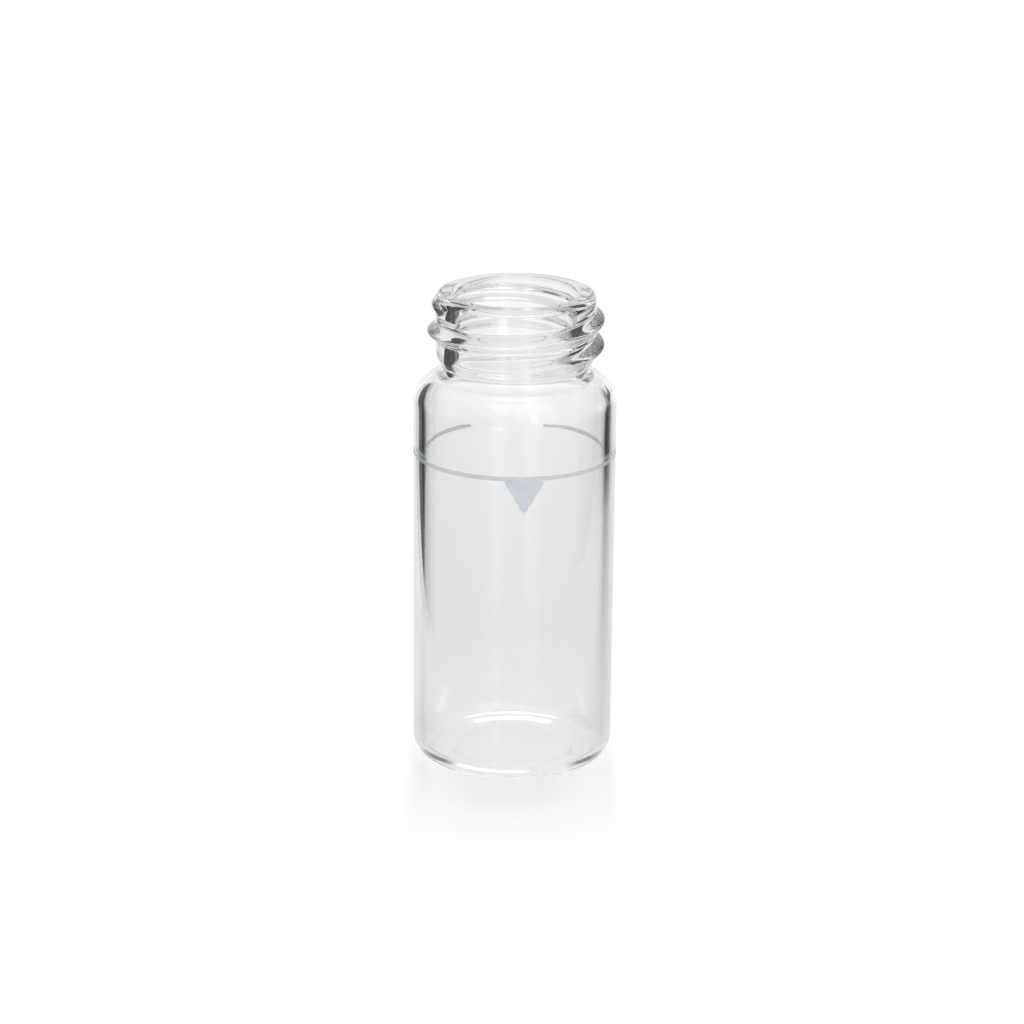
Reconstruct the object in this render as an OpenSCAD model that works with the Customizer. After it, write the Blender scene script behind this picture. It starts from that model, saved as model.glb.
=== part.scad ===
// Glass sample vial with a screw neck, a fired fill line and an index triangle.
// The axis is +Z, the standing ring lies on Z = 0 and the triangle faces -Y.

/* [Body] */
// Outside diameter of the straight body
body_d = 25; // [22:0.1:32]
// Overall height, from the standing ring to the lip
total_h = 60; // [50:0.5:100]
// Thickness of the straight side wall
wall = 1.3; // [0.9:0.05:1.8]
// Outside radius where the side wall turns into the base
heel_r = 2.5; // [1:0.1:3]
// Inside radius where the side wall turns into the floor
inner_heel_r = 1.6; // [1:0.1:3]

/* [Base] */
// Thickness of the base at its standing ring
base_t = 0.9; // [0.7:0.1:3]
// Diameter of the low dome in the middle of the floor
floor_d = 16; // [8:0.5:18]
// Height of that dome
floor_h = 1; // [0.2:0.1:1.5]
// Diameter of the shallow hollow under the base
dish_d = 13; // [8:0.5:18]
// Depth of that hollow at its middle
dish_h = 0.8; // [0.2:0.1:1.2]

/* [Shoulder] */
// Outside radius of the shoulder
shoulder_r = 3.6; // [2.5:0.1:4.5]
// Inside radius of the shoulder
inner_shoulder_r = 2.8; // [2:0.1:3.6]
// Distance by which the inside of the shoulder starts below its outside
inner_shoulder_drop = 0.3; // [0:0.05:1]
// Inside radius between the shoulder and the neck bore
inner_neck_r = 2.2; // [1.6:0.1:5]
// Depth of the groove between shoulder and neck, below the neck's surface
groove_depth = 0.68; // [0.3:0.02:1]
// Radius of that groove
groove_r = 1; // [0.6:0.1:1.6]

/* [Neck] */
// Outside diameter of the neck, below the thread's crest
neck_d = 19.68; // [16:0.02:21]
// Thickness of the neck's wall around its bore
neck_wall = 2.35; // [1.6:0.05:3]
// Height from the middle of the groove to the lip
neck_h = 9.5; // [9:0.1:14]
// Radius that brings the groove out to the neck
neck_edge_r = 2.9; // [1.5:0.1:3.5]
// Outside radius of the fire-polished lip
lip_r = 0.85; // [0.4:0.01:1.1]
// Inside radius of the lip, at the bore
inner_lip_r = 0.62; // [0.3:0.01:1]

/* [Thread] */
// Height of the thread's crest over the neck's surface
thread_h = 1.07; // [0.6:0.01:1.5]
// Rise of the thread in one turn, right-handed
thread_pitch = 3.175; // [2.9:0.005:4]
// Width of the bead where it leaves the neck
thread_w = 2.35; // [1.8:0.05:2.8]
// Turns of thread, counted over both faded ends
thread_turns = 2.07; // [1:0.01:2.3]
// Angle over which the lower end of the bead fades into the neck
thread_fade = 160; // [40:5:180]
// Angle over which its upper end fades
thread_top_fade = 105; // [40:5:180]
// Angle of the lower end, from the triangle towards +X
thread_start = -80; // [-180:1:180]
// Distance from the lip down to the middle of the upper end
thread_drop = 1.4; // [1.2:0.05:3]

/* [Fill mark] */
// Distance from the shoulder's lower edge down to the fill line
line_drop = 6.25; // [2:0.05:20]
// Height of the fill line
line_h = 0.55; // [0.3:0.05:1.5]
// Angle left open in the fill line, opposite the triangle
line_gap = 47; // [10:1:120]
// Width of the index triangle along its top edge
triangle_w = 5; // [2:0.1:8]
// Height of the index triangle below the fill line
triangle_h = 4.3; // [2:0.1:8]
// Thickness of the fired enamel
enamel_t = 0.04; // [0.02:0.01:0.1]

/* [Hidden] */
$fn = 128;

// Depth by which two arcs overlap where they meet, and angle by which a slice reaches past that place
arc_lap = 0.001;
slice_lap = 8;

// Radii of the straight surfaces
body_r = body_d / 2;
inner_r = body_r - wall;
neck_r = neck_d / 2;
bore_r = neck_r - neck_wall;

// Shoulder, groove and neck: three arcs, each running into the next, as [radius from the axis, height]
groove_z = total_h - neck_h;
groove_c = [neck_r - groove_depth + groove_r, groove_z];
shoulder_c_r = body_r - shoulder_r;
shoulder_z = groove_z - arc_rise(shoulder_r, groove_r, groove_c[0] - shoulder_c_r);
shoulder_c = [shoulder_c_r, shoulder_z];
neck_c_r = neck_r - neck_edge_r;
neck_z = groove_z + arc_rise(groove_r, neck_edge_r, groove_c[0] - neck_c_r);
neck_c = [neck_c_r, neck_z];

// The inside of the shoulder has an arc of its own, which runs into the arc below the bore
inner_shoulder_c = [inner_r - inner_shoulder_r, shoulder_z - inner_shoulder_drop];
inner_groove_r = bore_r + inner_neck_r;
inner_groove_c = [
    inner_groove_r,
    inner_shoulder_c[1] + arc_rise(inner_shoulder_r, inner_neck_r, inner_groove_r - inner_shoulder_c[0])
];

// The lip's edges keep a little of the flat between them: neither takes more than this share of the wall
lip_share = 0.48;
lip_edge = min(lip_r, lip_share * neck_wall);
lip_z = total_h - lip_edge;
inner_lip_edge = min(inner_lip_r, lip_share * neck_wall);
inner_lip_z = total_h - inner_lip_edge;

// The hollow under the base and the dome in the floor are caps of spheres
dish_r = cap_r(dish_d, dish_h);
dish_c = [0, dish_h - dish_r];
floor_r = cap_r(floor_d, floor_h);
floor_c = [0, base_t + floor_h - floor_r];

// Thread: the bead's bell section runs on below the neck's surface by root_sink, is closed at
// root_floor, and keeps this share of the pitch to each side
root_sink = 0.25;
root_floor = 0.6;
bead_share = 0.47;
bell_half = 90 * thread_w / 2 / acos(sqrt(root_sink / (thread_h + root_sink)));
bead_half = min(bell_half, bead_share * thread_pitch);
bead_end_width = 0.4;
bead_steps = 10;
turn_steps = 48;
thread_steps = ceil(thread_turns * turn_steps);
thread_low_z = total_h - thread_drop - thread_turns * thread_pitch;

// Enamel, on the straight body
line_z = shoulder_z - line_drop;
index_angle = -90;
over = 1;

// Height between the centres of two arcs that run into each other, from their radii and their
// distance across
function arc_rise(r1, r2, across) = sqrt(pow(r1 + r2 - arc_lap, 2) - across * across);
// Radius of the sphere that has a cap of this diameter and height
function cap_r(d, h) = (d * d / 4 + h * h) / (2 * h);
function direction(from, to) = atan2(to[1] - from[1], to[0] - from[0]);
function polar(r, angle) = [r * cos(angle), r * sin(angle)];

// Slice of a disc between two angles less than half a turn apart
module sector(r, from, to) {
    reach = 2 * r / cos((to - from) / 4);
    intersection() {
        circle(r);
        polygon([[0, 0], polar(reach, from), polar(reach, (from + to) / 2), polar(reach, to)]);
    }
}

// Rectangle from the axis out to r, between two heights
module span(r, low, high) {
    polygon([[0, low], [r, low], [r, high], [0, high]]);
}

// Upright wall with a rounded lower edge, from the axis out to r
module rounded_foot(r, edge, low, high) {
    span(r - edge, low, high);
    span(r, low + edge, high);
    translate([r - edge, low + edge]) sector(edge, -90, 0);
}

module outer_profile() {
    rounded_foot(body_r, heel_r, 0, shoulder_z);
    translate(shoulder_c) sector(shoulder_r, 0, direction(shoulder_c, groove_c) + slice_lap);
    difference() {
        polygon([[0, heel_r], [shoulder_c_r, heel_r], shoulder_c, groove_c, neck_c, [0, neck_z]]);
        translate(groove_c) circle(groove_r);
    }
    translate(neck_c) sector(neck_edge_r, direction(neck_c, groove_c) - slice_lap, 0);
    span(neck_r, neck_z, lip_z);
    span(neck_r - lip_edge, neck_z, total_h);
    translate([neck_r - lip_edge, lip_z]) sector(lip_edge, 0, 90);
}

module cavity_profile() {
    difference() {
        rounded_foot(inner_r, inner_heel_r, base_t, inner_shoulder_c[1]);
        translate(floor_c) circle(floor_r);
    }
    translate(inner_shoulder_c)
        sector(inner_shoulder_r, 0, direction(inner_shoulder_c, inner_groove_c) + slice_lap);
    difference() {
        polygon([[0, inner_shoulder_c[1]], inner_shoulder_c, inner_groove_c, [0, inner_groove_c[1]]]);
        translate(inner_groove_c) circle(inner_neck_r);
    }
    span(bore_r, inner_groove_c[1], total_h + over);
    difference() {
        span(bore_r + inner_lip_edge, inner_lip_z, total_h + over);
        translate([bore_r + inner_lip_edge, inner_lip_z]) circle(inner_lip_edge);
    }
}

// Share of the bead's full size at a fraction of the thread's length
function bead_size(at) =
    let (
        length = 360 * thread_turns,
        grown = length * at / thread_fade,
        left = length * (1 - at) / thread_top_fade
    )
    sin(90 * min(1, grown, left));

// Radius of the neck's surface at a height, down to the edge that runs into the groove
function neck_surface(z) =
    let (below = max(0, neck_z - z))
    neck_c_r + sqrt(max(0, neck_edge_r * neck_edge_r - below * below));

// Height of the bell section over the neck's surface, at a distance from the crest line
function bell(u) = (thread_h + root_sink) * pow(cos(90 * u / bell_half), 2) - root_sink;

// One section of the bead: its outline across the thread, closed inside the neck's wall
function bead_section(at) =
    let (
        size = bead_size(at),
        half = bead_half * (bead_end_width + (1 - bead_end_width) * size),
        angle = index_angle + thread_start + 360 * thread_turns * at,
        z = thread_low_z + thread_turns * thread_pitch * at,
        crown = [for (j = [0 : bead_steps]) let (u = half * (2 * j / bead_steps - 1))
            [neck_surface(z + u) - root_sink + size * (bell(u) + root_sink), z + u]],
        inside = neck_r - root_floor
    )
    [for (p = concat(crown, [[inside, z + half], [inside, z - half]]))
        [p[0] * cos(angle), p[0] * sin(angle), p[1]]];

module thread() {
    ring = bead_steps + 3;
    points = [for (i = [0 : thread_steps]) each bead_section(i / thread_steps)];
    sides = [for (i = [0 : thread_steps - 1], j = [0 : ring - 1])
        let (a = i * ring + j, b = i * ring + (j + 1) % ring)
        each [[a, b, b + ring], [a, b + ring, a + ring]]];
    first = [for (j = [0 : ring - 1]) ring - 1 - j];
    last = [for (j = [0 : ring - 1]) thread_steps * ring + j];
    polyhedron(points, concat(sides, [first, last]));
}

module glass_vial() {
    color([0.85, 0.9, 0.9, 0.4])
        union() {
            rotate_extrude()
                difference() {
                    outer_profile();
                    cavity_profile();
                    translate(dish_c) circle(dish_r);
                }
            thread();
        }
}

// Enamel layer on the straight body, over a range of heights
module enamel_layer(low, high) {
    rotate_extrude()
        translate([body_r, low]) square([enamel_t, high - low]);
}

module fill_mark() {
    line_low = line_z - line_h / 2;
    line_high = line_z + line_h / 2;
    triangle_low = line_low - triangle_h;
    gap_half = line_gap / 2;
    reach = 2 * body_r;
    color([0.8, 0.83, 0.86])
        union() {
            difference() {
                enamel_layer(line_low, line_high);
                translate([0, 0, line_low - over])
                    linear_extrude(line_h + 2 * over)
                        polygon([
                            [0, 0],
                            polar(reach, 90 - gap_half),
                            polar(reach, 90 + gap_half)
                        ]);
            }
            intersection() {
                enamel_layer(triangle_low - over, line_z);
                rotate([90, 0, 0])
                    linear_extrude(reach)
                        polygon([
                            [-triangle_w / 2, line_low],
                            [-triangle_w / 2, line_high],
                            [triangle_w / 2, line_high],
                            [triangle_w / 2, line_low],
                            [0, triangle_low]
                        ]);
            }
        }
}

glass_vial();
fill_mark();
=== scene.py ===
import math

import bpy
from mathutils import Matrix, Vector


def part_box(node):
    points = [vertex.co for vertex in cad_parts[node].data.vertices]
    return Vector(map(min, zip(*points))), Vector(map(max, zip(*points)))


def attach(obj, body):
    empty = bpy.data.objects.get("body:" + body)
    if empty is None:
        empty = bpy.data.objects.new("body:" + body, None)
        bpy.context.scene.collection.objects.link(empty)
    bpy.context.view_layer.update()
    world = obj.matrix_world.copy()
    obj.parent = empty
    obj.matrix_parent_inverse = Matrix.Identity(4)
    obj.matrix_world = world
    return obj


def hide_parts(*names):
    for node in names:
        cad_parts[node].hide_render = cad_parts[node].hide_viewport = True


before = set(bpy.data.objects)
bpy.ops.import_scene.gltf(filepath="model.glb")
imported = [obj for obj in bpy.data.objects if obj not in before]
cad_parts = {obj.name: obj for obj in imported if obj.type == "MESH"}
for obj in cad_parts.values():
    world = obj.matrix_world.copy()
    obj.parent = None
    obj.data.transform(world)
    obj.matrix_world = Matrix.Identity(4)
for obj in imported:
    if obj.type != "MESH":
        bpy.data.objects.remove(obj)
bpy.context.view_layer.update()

MM = 0.001

# Body and base of the vial, in metres, with the sizes of its solids
GLASS_LOW, GLASS_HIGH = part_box("glass_vial")
BODY_R = (GLASS_HIGH.x - GLASS_LOW.x) / 2
TOTAL_H = GLASS_HIGH.z
WALL = 1.3 * MM
HEEL_R = 2.5 * MM
INNER_HEEL_R = 1.6 * MM
BASE_T = 0.9 * MM
FLOOR_R = 8.0 * MM
FLOOR_H = 1.0 * MM
DISH_R = 6.5 * MM
DISH_H = 0.8 * MM
DOME_EASE = 0.2 * MM

# Shoulder, groove, neck and lip
SHOULDER_R = 3.6 * MM
INNER_SHOULDER_R = 2.8 * MM
INNER_SHOULDER_DROP = 0.3 * MM
INNER_NECK_R = 2.2 * MM
GROOVE_DEPTH = 0.68 * MM
GROOVE_R = 1.0 * MM
NECK_R = 9.84 * MM
NECK_WALL = 2.35 * MM
NECK_H = 9.5 * MM
NECK_EDGE_R = 2.9 * MM
LIP_R = 0.85 * MM
INNER_LIP_R = 0.62 * MM

# Thread: a right-hand bead with a bell section, which fades out at both ends
THREAD_H = 1.07 * MM
THREAD_PITCH = 3.175 * MM
THREAD_W = 2.35 * MM
THREAD_TURNS = 2.07
THREAD_FADE = math.radians(160)
THREAD_TOP_FADE = math.radians(105)
THREAD_START = math.radians(-80)
THREAD_DROP = 1.4 * MM
ROOT_SINK = 0.25 * MM
ROOT_FILLET = 0.2 * MM

# Fired enamel on the body: a fill line that is open at the back, and a triangle under it
TRIANGLE_W = 5.0 * MM
TRIANGLE_H = 4.3 * MM
MARK_LOW, MARK_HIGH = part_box("fill_mark")
LINE_LOW = MARK_LOW.z + TRIANGLE_H
LINE_HIGH = MARK_HIGH.z
LINE_GAP = math.radians(47)
ENAMEL_R = MARK_HIGH.x
ENAMEL_LIFT = 0.004 * MM
FRONT = -math.pi / 2

# Spacing of the mesh
AROUND = 256
ARC_STEP = math.radians(5)
DOME_STEP = 0.4 * MM
NECK_STEP = 0.09 * MM
BORE_STEP = 0.5 * MM
WALL_STEP = 1.5 * MM
MARK_STEPS = 360
SAME_POINT = 0.0004 * MM

# Glass: clear, a little grey green in its depth, with the faint lines and waves of drawn tube
GLASS_IOR = 1.474
GLASS_ROUGHNESS = 0.04
GLASS_COLOUR = (0.62, 0.68, 0.64, 1)
GLASS_DENSITY = 8.0
LINES_PER_METRE = (500, 500, 12)
LINES_DETAIL = 1.0
LINES_DEPTH = 0.001 * MM
WAVES_PER_METRE = (140, 140, 90)
WAVES_DETAIL = 0.0
WAVES_DEPTH = 0.006 * MM

# Enamel: two pale blue greys in a mottle, a fine grain, and how much light it keeps back
ENAMEL_DARKER = (0.63, 0.75, 0.87, 1)
ENAMEL_LIGHTER = (0.71, 0.83, 0.95, 1)
MOTTLE_PER_METRE = (900, 900, 900)
MOTTLE_DETAIL = 4.0
GRAIN_PER_METRE = (9000, 9000, 9000)
GRAIN_DETAIL = 2.0
GRAIN_DEPTH = 0.004 * MM
GRAIN_ROUGHNESS = [(0.3, 0.42), (0.7, 0.6)]
SCATTER_DEPTH = 0.3 * MM
ENAMEL_COVER = 0.42

# Camera, turned to the photograph's view
CAMERA_TARGET = Vector((0, 0, 30 * MM))
CAMERA_DISTANCE = 0.4423
CAMERA_AZIMUTH = math.radians(-5.6)
CAMERA_ELEVATION = math.radians(18.31)
CAMERA_PITCH = math.radians(0.196)
CAMERA_YAW = math.radians(-0.033)
CAMERA_ROLL = math.radians(0.588)
CAMERA_LENS = 124.5
CAMERA_SENSOR = 36.0
CAMERA_CLIP = 10 * MM

# Light of the studio
WHITE = (1, 1, 1, 1)
PAPER_LEVEL = 1.0
WORLD_LEVEL = 0.8
LIGHT_BOUNCES = 48

# Paper that the camera sees: how much it mirrors, by distance from the vial's axis in metres, and the
# painted soft shadow in front of the vial, by the place along and across the view
STAGE_HALF = 4.0
PAPER_GLOSS = [(0.0, 0.12), (0.014, 0.12), (0.022, 0.06), (0.034, 0.0)]
PAPER_ROUGHNESS = 0.3
PAPER_MIRRORED = 0.8
PAPER_SHADE_ALONG = [
    (-0.039, 0.0), (-0.029, 0.02), (-0.0215, 0.07), (-0.0175, 0.11), (-0.013, 0.14), (-0.008, 0.14),
    (0.004, 0.0),
]
PAPER_SHADE_ACROSS = [(0.004, 1.0), (0.009, 0.5), (0.0122, 0.4), (0.0133, 0.0)]

# Table that only the glass sees: its light by distance from the vial's axis in metres, and by
# azimuth in degrees from straight behind, to the right, which counts only away from the axis
TABLE_DROP = 0.05 * MM
TABLE_ALONG = [
    (0.0, 0.84), (0.012, 0.86), (0.02, 0.82), (0.045, 0.8), (0.095, 0.83), (0.22, 0.95), (0.45, 1.0),
]
TABLE_AROUND = [
    (-180, 0.8), (-150, 0.72), (-130, 0.6), (-100, 0.65), (-40, 1.0), (40, 1.0), (80, 0.8), (130, 0.8),
    (150, 0.95), (180, 0.85),
]
TABLE_AWAY = [(0.008, 0.0), (0.02, 1.0)]

# Parts painted on the table, each by azimuth and then by distance: two light streaks and a glint
# towards the front, with their levels
STREAKS_LEVEL = 0.4
STREAKS = (
    [(-180, 0), (-172, 0), (-160, 1), (-148, 0), (148, 0), (160, 1), (172, 0), (180, 0)],
    [(0.03, 0.0), (0.06, 1.0)],
)
GLINT_LEVEL = 2.0
GLINT = (
    [(-169, 0), (-165, 1), (-157, 1), (-153, 0)],
    [(0.186, 0.0), (0.198, 1.0), (0.225, 1.0), (0.24, 0.0)],
)

# Painted shade on the table: a shade that deepens to the right, the darker far table behind it, a darker
# part at the front left, and a painted contact shadow under both sides of the heel
RIGHT_SHADE = (
    [(0, 0), (28, 0), (40, 1), (52, 1), (62, 0.8), (80, 0.7), (125, 0.35), (150, 0)],
    [(0.005, 0.0), (0.02, 0.07), (0.03, 0.12), (0.045, 0.19), (0.065, 0.29), (0.09, 0.42), (0.11, 0.55)],
)
RIGHT_FAR = (
    [(29, 0), (38, 1), (70, 1), (82, 0)],
    [(0.106, 0.0), (0.132, 0.97), (0.3, 0.92), (0.6, 0.8), (4.0, 0.7)],
)
LEFT_FRONT = (
    [(-142, 0), (-134, 1), (-104, 1), (-96, 0)],
    [(0.16, 0.0), (0.2, 0.7), (0.45, 0.7), (0.6, 0.0)],
)
UNDER_HEEL = [(0.0104, 0.0), (0.0109, 1.0), (0.0115, 1.0), (0.0121, 0.0)]
HEEL_CONTACT_SHADOW = ([(94, 0), (106, 0.6), (116, 0.8), (128, 0.75), (140, 0)], UNDER_HEEL)

# Painted light on the table under the base: a line under the front of the heel, and two rings at the
# back of the base
HEEL_GLOW = ([(-180, 0.5), (-146, 0.4), (-134, 0), (166, 0), (176, 0.5), (180, 0.5)], UNDER_HEEL)
BASE_GLOW = (
    [(0, 1), (22, 1), (36, 0)],
    [
        (0.0082, 0.0), (0.0088, 1.0), (0.0096, 1.0), (0.0102, 0.0), (0.0112, 0.0), (0.0115, 0.8),
        (0.0118, 0.8), (0.0121, 0.0),
    ],
)

# An upright dark board at the left, from its near to its far edge
DARK_LEVEL = 0.03
BOARD_NEAR = (-54 * MM, 10 * MM)
BOARD_FAR = (-67 * MM, 110 * MM)
BOARD_NEAR_H = 63 * MM
BOARD_FAR_H = 112 * MM

# Cards and softboxes that face the vial: level, azimuth from straight behind and elevation in
# degrees, then distance, width and height in metres
CARDS = {
    "card_right": (0.3, 45, 12, 0.6, 0.25, 0.28),
    "card_right_low": (DARK_LEVEL, 31, 1.5, 0.59, 0.13, 0.055),
    "card_front_left": (0.45, -132, 12, 0.6, 0.55, 0.4),
    "softbox_top": (1.6, 165, 70, 0.8, 0.8, 0.5),
    "softbox_front": (1.35, 150, 30, 0.8, 0.7, 0.7),
    "softbox_strip": (2.6, 156, 28, 0.75, 0.1, 0.5),
}


def clamp(value):
    return max(0.0, min(1.0, value))


def rise(slope, across):
    """Height between two points that lie slope apart, and across from each other."""
    return math.sqrt(slope * slope - across * across)


def cap_radius(r, h):
    """Radius of the sphere that has a cap of radius r and height h."""
    return (r * r + h * h) / (2 * h)


# Centres of the arcs in the vial's section, as (radius from the axis, height)
BORE_R = NECK_R - NECK_WALL
INNER_R = BODY_R - WALL
GROOVE_Z = TOTAL_H - NECK_H
GROOVE_C = (NECK_R - GROOVE_DEPTH + GROOVE_R, GROOVE_Z)
SHOULDER_CR = BODY_R - SHOULDER_R
SHOULDER_Z = GROOVE_Z - rise(SHOULDER_R + GROOVE_R, GROOVE_C[0] - SHOULDER_CR)
SHOULDER_C = (SHOULDER_CR, SHOULDER_Z)
NECK_CR = NECK_R - NECK_EDGE_R
NECK_Z = GROOVE_Z + rise(GROOVE_R + NECK_EDGE_R, GROOVE_C[0] - NECK_CR)
NECK_C = (NECK_CR, NECK_Z)
INNER_SHOULDER_C = (INNER_R - INNER_SHOULDER_R, SHOULDER_Z - INNER_SHOULDER_DROP)
INNER_NECK_CR = BORE_R + INNER_NECK_R
INNER_NECK_C = (
    INNER_NECK_CR,
    INNER_SHOULDER_C[1] + rise(INNER_SHOULDER_R + INNER_NECK_R, INNER_NECK_CR - INNER_SHOULDER_C[0]),
)
LIP_C = (NECK_R - LIP_R, TOTAL_H - LIP_R)
INNER_LIP_C = (BORE_R + INNER_LIP_R, TOTAL_H - INNER_LIP_R)

# Half the width at which the bell of the thread would end, and the height of its lower end
BELL_HALF = THREAD_W / 2 * (math.pi / 2) / math.acos(math.sqrt(ROOT_SINK / (THREAD_H + ROOT_SINK)))
THREAD_LOW_Z = TOTAL_H - THREAD_DROP - THREAD_TURNS * THREAD_PITCH


def direction(start, end):
    return math.atan2(end[1] - start[1], end[0] - start[0])


def arc(centre, r, start, end):
    """Points of an arc from one angle to another, both ends included."""
    steps = max(2, math.ceil(abs(end - start) / ARC_STEP))
    angles = [start + (end - start) * i / steps for i in range(steps + 1)]
    return [(centre[0] + r * math.cos(a), centre[1] + r * math.sin(a)) for a in angles]


def line(start, end, step):
    """Points of a straight run at about the given spacing, both ends included."""
    steps = max(1, math.ceil(math.dist(start, end) / step))
    return [tuple(a + (b - a) * i / steps for a, b in zip(start, end)) for i in range(steps + 1)]


def smooth_max(a, b, width):
    """The larger of two values, with a rounded change from one to the other."""
    share = clamp(0.5 + 0.5 * (a - b) / width)
    return b + (a - b) * share + width * share * (1 - share)


def dome(r, h, foot, reach):
    """Points of a low dome from its middle to reach, eased at the radius r into the flat at foot."""
    sphere = cap_radius(r, h)
    steps = math.ceil(reach / DOME_STEP)
    radii = [reach * i / steps for i in range(steps + 1)]
    return [(x, foot + smooth_max(rise(sphere, x) - sphere + h, 0, DOME_EASE)) for x in radii]


def joined(*runs):
    """Runs of points as one, without the ends that two of them share."""
    points = []
    for run in runs:
        points += [p for p in run if not points or math.dist(p, points[-1]) > SAME_POINT]
    return points


def outer_section():
    """The outside of the glass, from the middle of the base up to the top of the lip."""
    return joined(
        dome(DISH_R, DISH_H, 0, BODY_R - HEEL_R),
        arc((BODY_R - HEEL_R, HEEL_R), HEEL_R, -math.pi / 2, 0),
        line((BODY_R, HEEL_R), (BODY_R, SHOULDER_Z), WALL_STEP),
        arc(SHOULDER_C, SHOULDER_R, 0, direction(SHOULDER_C, GROOVE_C)),
        arc(GROOVE_C, GROOVE_R, direction(GROOVE_C, SHOULDER_C) + 2 * math.pi, direction(GROOVE_C, NECK_C)),
        arc(NECK_C, NECK_EDGE_R, direction(NECK_C, GROOVE_C), 0),
        line((NECK_R, NECK_Z), (NECK_R, LIP_C[1]), NECK_STEP),
        arc(LIP_C, LIP_R, 0, math.pi / 2),
    )


def inner_section():
    """The inside of the glass, from the top of the lip down to the middle of the floor."""
    heel_c = (INNER_R - INNER_HEEL_R, BASE_T + INNER_HEEL_R)
    neck_turn = direction(INNER_NECK_C, INNER_SHOULDER_C) + 2 * math.pi
    return joined(
        arc(INNER_LIP_C, INNER_LIP_R, math.pi / 2, math.pi),
        line((BORE_R, INNER_LIP_C[1]), (BORE_R, INNER_NECK_C[1]), BORE_STEP),
        arc(INNER_NECK_C, INNER_NECK_R, math.pi, neck_turn),
        arc(INNER_SHOULDER_C, INNER_SHOULDER_R, direction(INNER_SHOULDER_C, INNER_NECK_C), 0),
        line((INNER_R, INNER_SHOULDER_C[1]), (INNER_R, heel_c[1]), WALL_STEP),
        arc(heel_c, INNER_HEEL_R, 0, -math.pi / 2),
        dome(FLOOR_R, FLOOR_H, BASE_T, heel_c[0])[::-1],
    )


def with_thread(angle, r, z):
    """Radius of the neck's outside at an angle and height, with the bead of the thread on it."""
    full = 2 * math.pi
    length = full * THREAD_TURNS
    turned = (angle - FRONT - THREAD_START) % full
    out = r
    while turned <= length:
        u = z - THREAD_LOW_Z - THREAD_PITCH * turned / full
        if abs(u) < BELL_HALF:
            grown = min(turned / THREAD_FADE, (length - turned) / THREAD_TOP_FADE)
            size = math.sin(math.pi / 2 * clamp(grown))
            bell = (THREAD_H + ROOT_SINK) * math.cos(math.pi / 2 * u / BELL_HALF) ** 2
            out = smooth_max(r - ROOT_SINK + size * bell, out, ROOT_FILLET)
        turned += full
    return out


def new_object(name, verts, faces, material):
    mesh = bpy.data.meshes.new(name)
    mesh.from_pydata(verts, [], faces)
    mesh.materials.append(material)
    mesh.update()
    obj = bpy.data.objects.new(name, mesh)
    bpy.context.scene.collection.objects.link(obj)
    return obj


def turned_verts(section, threaded):
    """A point on the axis, a ring for each point of the section between its ends, and a last point."""
    verts = [(0, 0, section[0][1])]
    for k, (r, z) in enumerate(section[1:-1], start=1):
        for i in range(AROUND):
            a = 2 * math.pi * i / AROUND
            out = with_thread(a, r, z) if k in threaded else r
            verts.append((out * math.cos(a), out * math.sin(a), z))
    verts.append((0, 0, section[-1][1]))
    return verts


def turned_faces(rings):
    """Faces between neighbouring rings, and fans from the first and last ring to the axis."""
    last_ring = 1 + (rings - 1) * AROUND
    last = last_ring + AROUND
    faces = []
    for i in range(AROUND):
        j = (i + 1) % AROUND
        faces.append((0, 1 + j, 1 + i))
        for low in range(1, last_ring, AROUND):
            high = low + AROUND
            faces.append((low + i, low + j, high + j, high + i))
        faces.append((last_ring + i, last_ring + j, last))
    return faces


def glass_object(material):
    """The glass as one closed surface: the outside turned round the axis, then the inside."""
    outside, inside = outer_section(), inner_section()[1:]
    section = outside + inside
    threaded = range(len(outside) - sum(z > GROOVE_Z for _, z in outside), len(outside))
    verts, faces = turned_verts(section, threaded), turned_faces(len(section) - 2)
    obj = new_object("vial_glass", verts, faces, material)
    obj.data.shade_smooth()
    return obj


def mark_angles():
    """Angles from the front at which the layer of enamel has its points, with the triangle's corners."""
    tri_half = math.asin(TRIANGLE_W / 2 / BODY_R)
    sweep = math.pi - LINE_GAP / 2
    even = {sweep * (2 * i / MARK_STEPS - 1) for i in range(MARK_STEPS + 1)}
    return sorted(even | {-tri_half, 0.0, tri_half})


def mark_object(material):
    """The fill line and the triangle as one thin closed layer round the body."""
    low_r, high_r = BODY_R + ENAMEL_LIFT, ENAMEL_R
    angles = mark_angles()
    verts, faces = [], []
    for a in angles:
        across = abs(math.sin(a)) * BODY_R if abs(a) < math.pi / 2 else BODY_R
        low_z = LINE_LOW - TRIANGLE_H * clamp(1 - across / (TRIANGLE_W / 2))
        for r, z in ((low_r, low_z), (high_r, low_z), (high_r, LINE_HIGH), (low_r, LINE_HIGH)):
            verts.append((r * math.cos(FRONT + a), r * math.sin(FRONT + a), z))
    for i in range(len(angles) - 1):
        for j in range(4):
            k = (j + 1) % 4
            faces.append((i * 4 + j, i * 4 + 4 + j, i * 4 + 4 + k, i * 4 + k))
    end = 4 * (len(angles) - 1)
    faces += [(3, 2, 1, 0), (end, end + 1, end + 2, end + 3)]
    return new_object("enamel_mark", verts, faces, material)


def new_material(name):
    """A material with nothing but its output node."""
    material = bpy.data.materials.new(name)
    material.use_nodes = True
    tree = material.node_tree
    tree.nodes.clear()
    return material, tree, tree.nodes.new("ShaderNodeOutputMaterial")


def add(tree, kind, inputs, **settings):
    """A new node, with each of the inputs set to a value or linked to another node's output."""
    node = tree.nodes.new(kind)
    for name, value in settings.items():
        setattr(node, name, value)
    for name, value in inputs.items():
        if isinstance(value, bpy.types.NodeSocket):
            tree.links.new(value, node.inputs[name])
        else:
            node.inputs[name].default_value = value
    return node


def maths(tree, operation, a, b):
    return add(tree, "ShaderNodeMath", {0: a, 1: b}, operation=operation).outputs["Value"]


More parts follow.
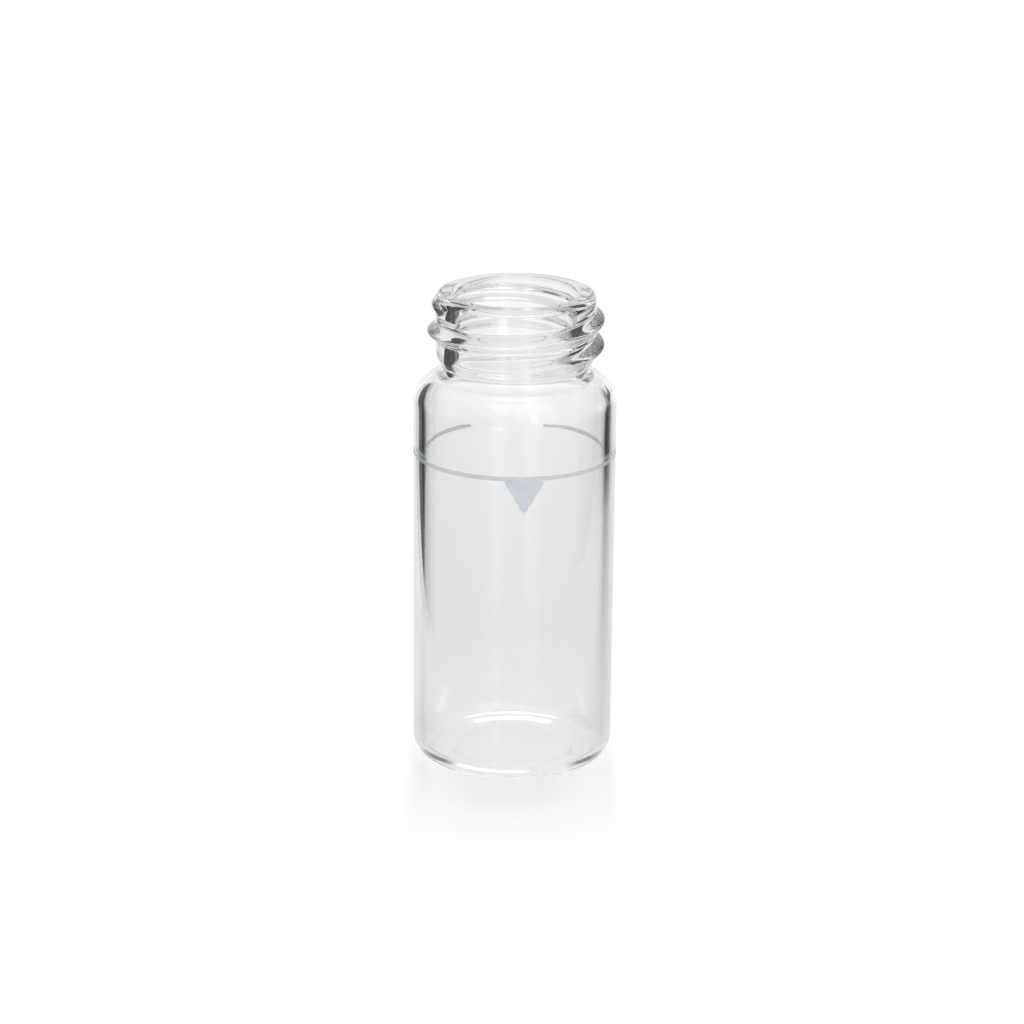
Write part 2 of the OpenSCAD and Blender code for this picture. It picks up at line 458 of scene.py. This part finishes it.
def noise(tree, per_metre, detail):
    """Noise over the piece's own coordinates, with its waves per metre along X, Y and Z."""
    coords = add(tree, "ShaderNodeTexCoord", {})
    mapping = add(tree, "ShaderNodeMapping", {"Vector": coords.outputs["Object"], "Scale": per_metre})
    inputs = {"Vector": mapping.outputs["Vector"], "Scale": 1.0, "Detail": detail}
    return add(tree, "ShaderNodeTexNoise", inputs).outputs["Fac"]


def bump(tree, height, depth, normal=None):
    """The surface's direction with a relief of the given depth, laid over another one if there is any."""
    inputs = {"Strength": 1.0, "Distance": depth, "Height": height}
    if normal:
        inputs["Normal"] = normal
    return add(tree, "ShaderNodeBump", inputs).outputs["Normal"]


def ramp(tree, value, stops):
    """A grey level that follows value through the stops, each given as (value, level)."""
    low, high = stops[0][0], stops[-1][0]
    span = add(tree, "ShaderNodeMapRange", {"Value": value, "From Min": low, "From Max": high})
    colours = add(tree, "ShaderNodeValToRGB", {"Fac": span.outputs["Result"]})
    elements = colours.color_ramp.elements
    while len(elements) < len(stops):
        elements.new(0.5)
    for element, (at, level) in zip(elements, stops):
        element.position = (at - low) / (high - low)
        element.color = (level, level, level, 1)
    return colours.outputs["Color"]


def glass_material():
    """Clear borosilicate glass with the faint lines and waves of drawn tube."""
    material, tree, out = new_material("clear_glass")
    waves = bump(tree, noise(tree, WAVES_PER_METRE, WAVES_DETAIL), WAVES_DEPTH)
    shader = add(tree, "ShaderNodeBsdfPrincipled", {
        "Base Color": WHITE,
        "Roughness": GLASS_ROUGHNESS,
        "IOR": GLASS_IOR,
        "Transmission Weight": 1.0,
        "Normal": bump(tree, noise(tree, LINES_PER_METRE, LINES_DETAIL), LINES_DEPTH, waves),
    })
    tree.links.new(shader.outputs["BSDF"], out.inputs["Surface"])
    depth = add(tree, "ShaderNodeVolumeAbsorption", {"Color": GLASS_COLOUR, "Density": GLASS_DENSITY})
    tree.links.new(depth.outputs["Volume"], out.inputs["Volume"])
    return material


def enamel_material():
    """Fired screen print: a pale blue grey, slightly mottled and grainy, that lets some light through."""
    material, tree, out = new_material("enamel")
    mottle = noise(tree, MOTTLE_PER_METRE, MOTTLE_DETAIL)
    inputs = {"Factor": mottle, "A": ENAMEL_DARKER, "B": ENAMEL_LIGHTER}
    colours = add(tree, "ShaderNodeMix", inputs, data_type="RGBA")
    grain = noise(tree, GRAIN_PER_METRE, GRAIN_DETAIL)
    shader = add(tree, "ShaderNodeBsdfPrincipled", {
        "Base Color": colours.outputs["Result"],
        "Roughness": ramp(tree, grain, GRAIN_ROUGHNESS),
        "Normal": bump(tree, grain, GRAIN_DEPTH),
        "Subsurface Weight": 1.0,
        "Subsurface Radius": (1, 1, 1),
        "Subsurface Scale": SCATTER_DEPTH,
        "Alpha": ENAMEL_COVER,
    })
    tree.links.new(shader.outputs["BSDF"], out.inputs["Surface"])
    return material


def emission_material(name, level):
    material, tree, out = new_material(name)
    emit = add(tree, "ShaderNodeEmission", {"Strength": level})
    tree.links.new(emit.outputs["Emission"], out.inputs["Surface"])
    return material


def floor_places(tree):
    """Places on the floor: across and along it, and the distance from the vial's axis."""
    place = add(tree, "ShaderNodeTexCoord", {}).outputs["Object"]
    split = add(tree, "ShaderNodeSeparateXYZ", {"Vector": place})
    reach = add(tree, "ShaderNodeVectorMath", {0: place}, operation="LENGTH")
    return split.outputs["X"], split.outputs["Y"], reach.outputs["Value"]


def paper_material():
    """The white floor that the camera sees: it mirrors the vial softly close to its foot, with a painted
    shadow in front.
    """
    material, tree, out = new_material("white_paper")
    across, along, distance = floor_places(tree)
    share = ramp(tree, distance, PAPER_GLOSS)
    gloss = add(tree, "ShaderNodeBsdfGlossy", {"Color": share, "Roughness": PAPER_ROUGHNESS})
    # Painted soft shadow on the paper in front of the vial
    shade = ramp(tree, along, PAPER_SHADE_ALONG)
    width = ramp(tree, maths(tree, "ABSOLUTE", across, 0.0), PAPER_SHADE_ACROSS)
    lost = maths(tree, "MULTIPLY", share, PAPER_MIRRORED)
    lost = maths(tree, "ADD", lost, maths(tree, "MULTIPLY", shade, width))
    emit = add(tree, "ShaderNodeEmission", {"Strength": maths(tree, "SUBTRACT", PAPER_LEVEL, lost)})
    both = add(tree, "ShaderNodeAddShader", {0: emit.outputs["Emission"], 1: gloss.outputs["BSDF"]})
    tree.links.new(both.outputs["Shader"], out.inputs["Surface"])
    return material


def table_light(tree):
    """The table's painted light: an uneven ground, less its painted shade, plus the painted light under the
    base.
    """
    across, along, distance = floor_places(tree)
    azimuth = maths(tree, "ARCTAN2", across, along)
    azimuth = maths(tree, "MULTIPLY", azimuth, 180 / math.pi)
    aside = maths(tree, "ABSOLUTE", azimuth, 0.0)

    def painted(turn, part):
        by_turn, by_distance = part
        return maths(tree, "MULTIPLY", ramp(tree, turn, by_turn), ramp(tree, distance, by_distance))

    around = ramp(tree, azimuth, TABLE_AROUND)
    for part, level in ((STREAKS, STREAKS_LEVEL), (GLINT, GLINT_LEVEL)):
        around = maths(tree, "ADD", around, maths(tree, "MULTIPLY", painted(azimuth, part), level))
    uneven = maths(tree, "SUBTRACT", around, 1.0)
    uneven = maths(tree, "MULTIPLY", uneven, ramp(tree, distance, TABLE_AWAY))
    light = ramp(tree, distance, TABLE_ALONG)
    light = maths(tree, "MULTIPLY", light, maths(tree, "ADD", uneven, 1.0))
    # Painted shade: each dark part takes its share of the table's light away
    dark = ((azimuth, RIGHT_SHADE), (azimuth, RIGHT_FAR), (azimuth, LEFT_FRONT), (aside, HEEL_CONTACT_SHADOW))
    for turn, part in dark:
        left = maths(tree, "SUBTRACT", 1.0, painted(turn, part))
        light = maths(tree, "MULTIPLY", light, left)
    # Painted light under the front of the heel and at the back of the base
    for turn, part in ((azimuth, HEEL_GLOW), (aside, BASE_GLOW)):
        light = maths(tree, "ADD", light, painted(turn, part))
    return light


def table_material():
    """The light that comes up from the table into the glass."""
    material, tree, out = new_material("table_light")
    emit = add(tree, "ShaderNodeEmission", {"Strength": table_light(tree)})
    tree.links.new(emit.outputs["Emission"], out.inputs["Surface"])
    return material


def stage_card(name, corners, material, rig, seen_by_camera=False):
    """A flat card of the studio: seen only by the camera, or only by the light that meets the vial."""
    obj = new_object(name, corners, [tuple(range(len(corners)))], material)
    obj.parent = rig
    obj.visible_camera = seen_by_camera
    obj.visible_diffuse = not seen_by_camera
    obj.visible_glossy = not seen_by_camera
    obj.visible_transmission = not seen_by_camera
    obj.visible_shadow = False


def square(half, z):
    return [(-half, -half, z), (half, -half, z), (half, half, z), (-half, half, z)]


def board(near, far, near_height, far_height):
    """Corners of an upright board over the line from near to far on the table."""
    return [(*near, 0), (*far, 0), (*far, far_height), (*near, near_height)]


def facing_card(azimuth, elevation, distance, width, height):
    """Corners of a card that faces the vial, at an azimuth from straight behind and an elevation."""
    a, e = math.radians(azimuth), math.radians(elevation)
    facing = -Vector((math.cos(e) * math.sin(a), math.cos(e) * math.cos(a), math.sin(e)))
    centre = CAMERA_TARGET - facing * distance
    side = facing.cross(Vector((0, 0, 1))).normalized() * width / 2
    up = side.cross(facing).normalized() * height / 2
    return [tuple(centre + p) for p in (-side - up, side - up, side + up, up - side)]


def make_camera():
    """The camera, turned from its plain aim at the vial by a small pitch, yaw and roll."""
    a, e = CAMERA_AZIMUTH, CAMERA_ELEVATION
    back = Vector((math.sin(a) * math.cos(e), -math.cos(a) * math.cos(e), math.sin(e)))
    aim = back.to_track_quat("Z", "Y").to_matrix()
    turn = (
        Matrix.Rotation(CAMERA_PITCH, 3, "X")
        @ Matrix.Rotation(-CAMERA_YAW, 3, "Y")
        @ Matrix.Rotation(CAMERA_ROLL, 3, "Z")
    )
    data = bpy.data.cameras.new("camera")
    data.sensor_width = CAMERA_SENSOR
    data.lens = CAMERA_LENS
    data.clip_start = CAMERA_CLIP
    obj = bpy.data.objects.new("camera", data)
    bpy.context.scene.collection.objects.link(obj)
    obj.matrix_world = Matrix.Translation(CAMERA_TARGET + back * CAMERA_DISTANCE) @ (aim @ turn).to_4x4()
    bpy.context.scene.camera = obj
    return obj


def make_rig(camera):
    """A turntable for the studio, whose front turns to the camera."""
    rig = bpy.data.objects.new("studio_turntable", None)
    bpy.context.scene.collection.objects.link(rig)
    track = rig.constraints.new("LOCKED_TRACK")
    track.target = camera
    track.track_axis = "TRACK_NEGATIVE_Y"
    track.lock_axis = "LOCK_Z"
    return rig


def make_studio(rig):
    """White paper for the camera; a table of painted light and shade, a dark board, cards and softboxes for
    the glass.
    """
    stage_card("paper", square(STAGE_HALF, 0), paper_material(), rig, seen_by_camera=True)
    stage_card("table", square(STAGE_HALF, -TABLE_DROP), table_material(), rig)
    dark = emission_material("dark_board", DARK_LEVEL)
    stage_card("board_left", board(BOARD_NEAR, BOARD_FAR, BOARD_NEAR_H, BOARD_FAR_H), dark, rig)
    for name, (level, *place) in CARDS.items():
        stage_card(name, facing_card(*place), emission_material(name, level), rig)


def make_world():
    """A plain white surround, a little darker for the light that meets the vial than for the eye."""
    world = bpy.data.worlds.new("studio")
    bpy.context.scene.world = world
    world.use_nodes = True
    tree = world.node_tree
    background = tree.nodes["Background"]
    background.inputs["Color"].default_value = WHITE
    seen = add(tree, "ShaderNodeLightPath", {}).outputs["Is Camera Ray"]
    extra = maths(tree, "MULTIPLY", seen, PAPER_LEVEL - WORLD_LEVEL)
    tree.links.new(maths(tree, "ADD", extra, WORLD_LEVEL), background.inputs["Strength"])


def set_render():
    """Plain colours, and enough bounces for light that runs on inside the glass."""
    scene = bpy.context.scene
    scene.view_settings.view_transform = "Standard"
    scene.cycles.max_bounces = LIGHT_BOUNCES
    scene.cycles.glossy_bounces = LIGHT_BOUNCES
    scene.cycles.transmission_bounces = LIGHT_BOUNCES


make_studio(make_rig(make_camera()))
make_world()
set_render()

glass = glass_object(glass_material())
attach(glass, "root")
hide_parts("glass_vial")

mark = mark_object(enamel_material())
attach(mark, "root")
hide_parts("fill_mark")
